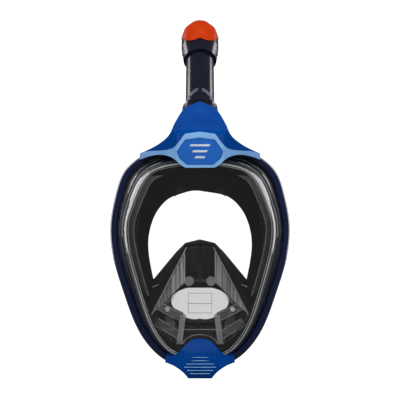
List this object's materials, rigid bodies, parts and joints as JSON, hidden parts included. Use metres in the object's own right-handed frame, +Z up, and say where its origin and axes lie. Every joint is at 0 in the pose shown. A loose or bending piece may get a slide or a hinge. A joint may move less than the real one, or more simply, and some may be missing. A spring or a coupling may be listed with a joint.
{
  "type": "full-face snorkel mask",
  "caption": "Full-face snorkel mask with a clear lens, silicone skirt, nose and mouth pocket, folding dry-top snorkel, chin drain and strap harness.",
  "frame": {"origin": "centre of the face seal, where the wearer's face meets the mask", "axes": "+X to the right seen from the front, -Y out through the lens, +Y towards the wearer, +Z up towards the snorkel"},
  "size_m": [0.1902, 0.2016, 0.3884],
  "materials": {
    "navy_plastic": "semi-gloss moulded navy",
    "clear_lens": "clear polycarbonate",
    "black_silicone": "matt liquid silicone",
    "smoke_plastic": "smoke-clear polycarbonate",
    "black_plastic": "satin black",
    "blue_plastic": "satin blue",
    "badge_blue": "satin mid blue",
    "light_blue_plastic": "satin light blue",
    "dark_navy_gloss": "gloss dark navy",
    "orange_plastic": "satin safety orange",
    "white_plastic": "matt white foam-filled float",
    "steel": "turned stainless",
    "strap_webbing": "elastic webbing"
  },
  "bodies": {
    "mask": {"front_frame": "navy_plastic", "rear_frame": "navy_plastic", "lens": "clear_lens", "face_skirt": "black_silicone", "orinasal_cup": "black_silicone", "mouth_ring": "black_silicone", "pocket_shield": "clear_lens", "nose_panel": "black_plastic", "duct_pins": "steel", "chin_cover": "blue_plastic", "chin_valve_seat": "black_plastic", "base_duct": "black_plastic", "fork_cover": "blue_plastic", "fork_band": "light_blue_plastic", "badge_plate": "badge_blue", "snorkel_seat": "black_plastic", "hinge_pin": "steel", "seat_gasket": "black_silicone", "head_yoke": "black_silicone", "clip_pins": "steel", "side_duct_left": "smoke_plastic", "exhaust_channel_left": "smoke_plastic", "inhale_seat_left": "black_plastic", "upper_clip_left": "black_plastic", "lower_clip_left": "black_plastic", "upper_strap_left": "strap_webbing", "lower_strap_left": "strap_webbing", "side_duct_right": "smoke_plastic", "exhaust_channel_right": "smoke_plastic", "inhale_seat_right": "black_plastic", "upper_clip_right": "black_plastic", "lower_clip_right": "black_plastic", "upper_strap_right": "strap_webbing", "lower_strap_right": "strap_webbing"},
    "snorkel": {"snorkel_tube": "dark_navy_gloss", "tube_divider": "black_plastic", "snorkel_head": "dark_navy_gloss", "snorkel_cap": "orange_plastic", "float_cage": "black_plastic"},
    "float": {"float_block": "white_plastic", "float_seal": "black_silicone"},
    "inhale_flap_left": {"inhale_flap_left": "black_silicone"},
    "inhale_flap_right": {"inhale_flap_right": "black_silicone"},
    "drain_flap": {"chin_flap": "black_silicone"},
    "upper_lever_left": {"upper_lever_left": "navy_plastic"},
    "upper_lever_right": {"upper_lever_right": "navy_plastic"},
    "lower_lever_left": {"lower_lever_left": "navy_plastic"},
    "lower_lever_right": {"lower_lever_right": "navy_plastic"}
  },
  "joints": [
    {"name": "snorkel_fold", "type": "hinge", "parent": "mask", "child": "snorkel", "pos_m": [0, -0.00807, 0.12596], "axis": [-1, 0, 0], "range_deg": [0, 75]},
    {"name": "float_slide", "type": "slide", "parent": "snorkel", "child": "float", "axis": [0, 0.7337, 0.6794], "range_m": [0, 0.008]},
    {"name": "inhale_valve_left", "type": "slide", "parent": "mask", "child": "inhale_flap_left", "axis": [-0.8406, 0, -0.5416], "range_m": [0, 0.0015], "stiffness_N_per_m": 20},
    {"name": "inhale_valve_right", "type": "slide", "parent": "mask", "child": "inhale_flap_right", "axis": [0.8406, 0, -0.5416], "range_m": [0, 0.0015], "stiffness_N_per_m": 20},
    {"name": "drain_valve", "type": "slide", "parent": "mask", "child": "drain_flap", "axis": [0, 0, -1], "range_m": [0, 0.0015], "stiffness_N_per_m": 20},
    {"name": "upper_lever_left", "type": "hinge", "parent": "mask", "child": "upper_lever_left", "pos_m": [0.08131, -0.01638, 0.06482], "axis": [-0.3686, 0, 0.9296], "range_deg": [0, 30]},
    {"name": "upper_lever_right", "type": "hinge", "parent": "mask", "child": "upper_lever_right", "pos_m": [-0.08131, -0.01638, 0.06482], "axis": [-0.3686, 0, -0.9296], "range_deg": [0, 30]},
    {"name": "lower_lever_left", "type": "hinge", "parent": "mask", "child": "lower_lever_left", "pos_m": [0.07851, -0.01708, -0.04604], "axis": [0.2995, 0, 0.9541], "range_deg": [0, 30]},
    {"name": "lower_lever_right", "type": "hinge", "parent": "mask", "child": "lower_lever_right", "pos_m": [-0.07851, -0.01708, -0.04604], "axis": [0.2995, 0, -0.9541], "range_deg": [0, 30]}
  ]
}
